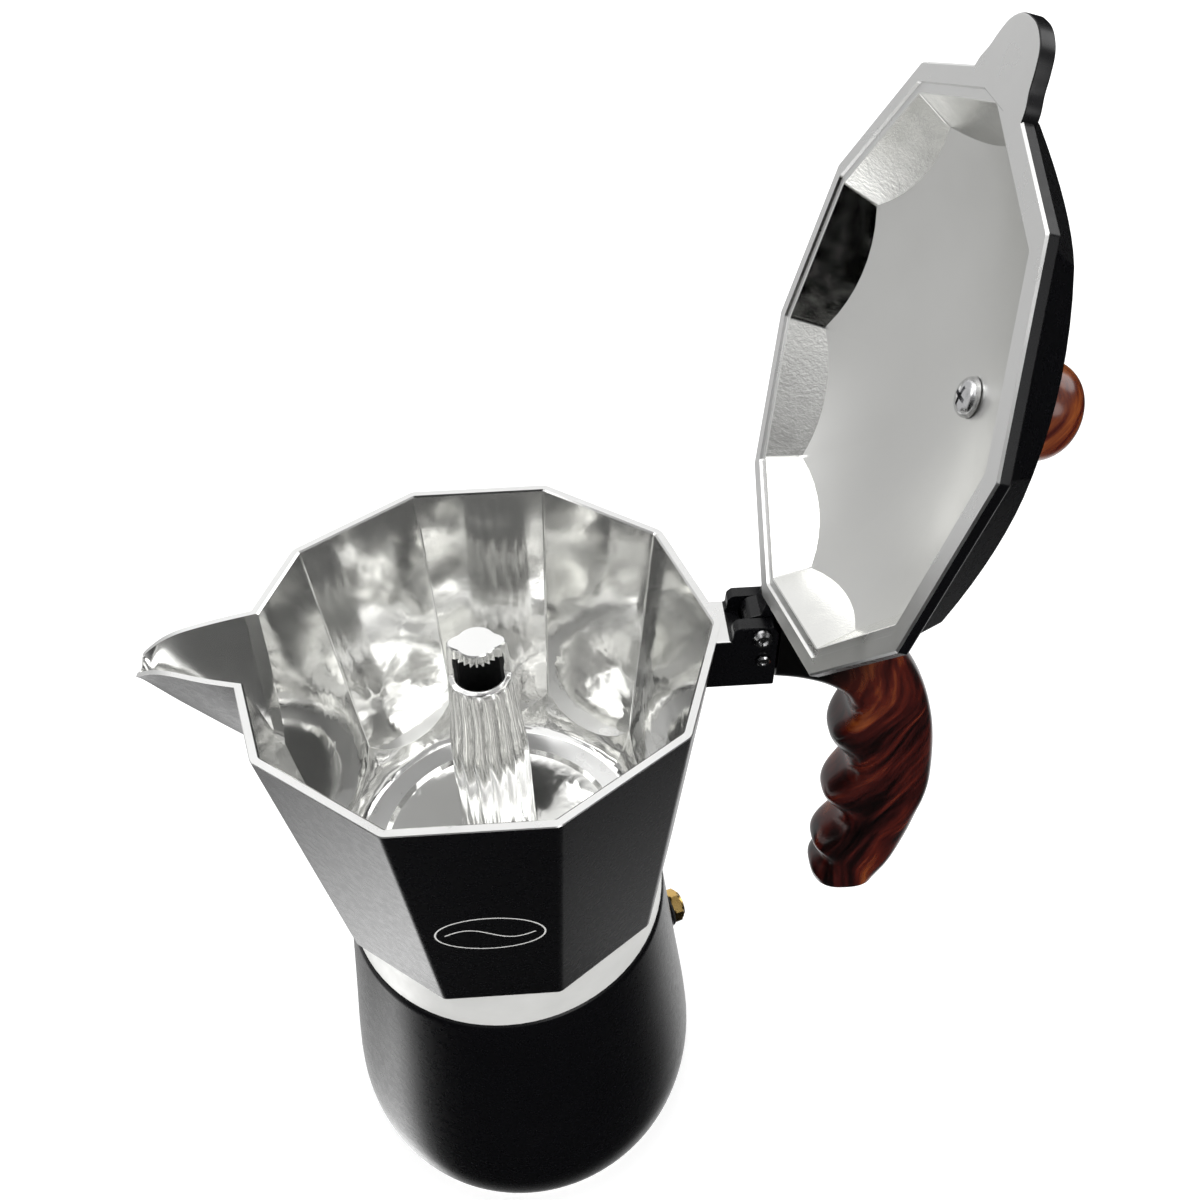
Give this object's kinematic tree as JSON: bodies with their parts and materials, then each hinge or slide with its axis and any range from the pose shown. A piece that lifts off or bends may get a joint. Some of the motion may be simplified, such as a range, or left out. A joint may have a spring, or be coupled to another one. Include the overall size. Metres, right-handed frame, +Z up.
{
  "type": "moka pot",
  "caption": "Stovetop coffee maker: bell-shaped boiler with safety valve, funnel and filter, faceted upper chamber with riser column, moulded handle and hinged domed lid.",
  "frame": {"origin": "centre of the boiler's underside", "axes": "+Z up along the pot's axis, +X towards the handle and lid hinge, -X towards the spout, +Y completes the right-handed frame"},
  "size_m": [0.1843, 0.1026, 0.3017],
  "materials": {
    "black_coating": "satin black coating over cast aluminium",
    "bare_aluminium": "polished cast aluminium",
    "spun_aluminium": "spun aluminium sheet",
    "brass": "machined brass",
    "bright_steel": "bright plated steel",
    "silicone": "off-white silicone",
    "black_fibre": "matt black washer",
    "wood_effect": "moulded plastic with a dark red-brown swirled wood effect"
  },
  "bodies": {
    "boiler": {"boiler": "black_coating", "valve_body": "brass", "valve_washer": "black_fibre", "valve_nut": "brass", "valve_seat": "bright_steel", "valve_spring": "bright_steel", "funnel_basket": "spun_aluminium", "funnel_stem": "spun_aluminium", "funnel_strainer": "spun_aluminium"},
    "valve_pin": {"valve_pin": "brass"},
    "seal": {"gasket": "silicone", "filter_plate": "spun_aluminium"},
    "upper_chamber": {"upper_chamber": "black_coating", "column": "bare_aluminium", "handle": "wood_effect", "handle_pin": "bright_steel", "hinge_pin": "bright_steel"},
    "lid": {"lid": "black_coating", "lid_knob": "wood_effect", "knob_insert": "brass", "knob_screw": "bright_steel", "knob_washer": "black_fibre"}
  },
  "joints": [
    {"name": "chamber_rise", "type": "slide", "parent": "boiler", "child": "seal", "axis": [0, 0, 1], "range_m": [0, 0.012]},
    {"name": "chamber_unscrew", "type": "hinge", "parent": "seal", "child": "upper_chamber", "pos_m": [0, 0, 0.1], "axis": [0, 0, 1], "range_deg": [0, 1440]},
    {"name": "lid_hinge", "type": "hinge", "parent": "upper_chamber", "child": "lid", "pos_m": [0.0593, 0, 0.1854], "axis": [0, 1, 0], "range_deg": [-105, 0]},
    {"name": "valve_release", "type": "slide", "parent": "boiler", "child": "valve_pin", "axis": [0.9426, 0.3338, 0], "range_m": [0, 0.0015], "stiffness_N_per_m": 900, "springref_m": -0.004, "deforming": ["valve_spring"]}
  ],
  "couplings": [
    {"joint": "chamber_rise", "follows": "chamber_unscrew", "m_per_rad": 0.00047746}
  ]
}
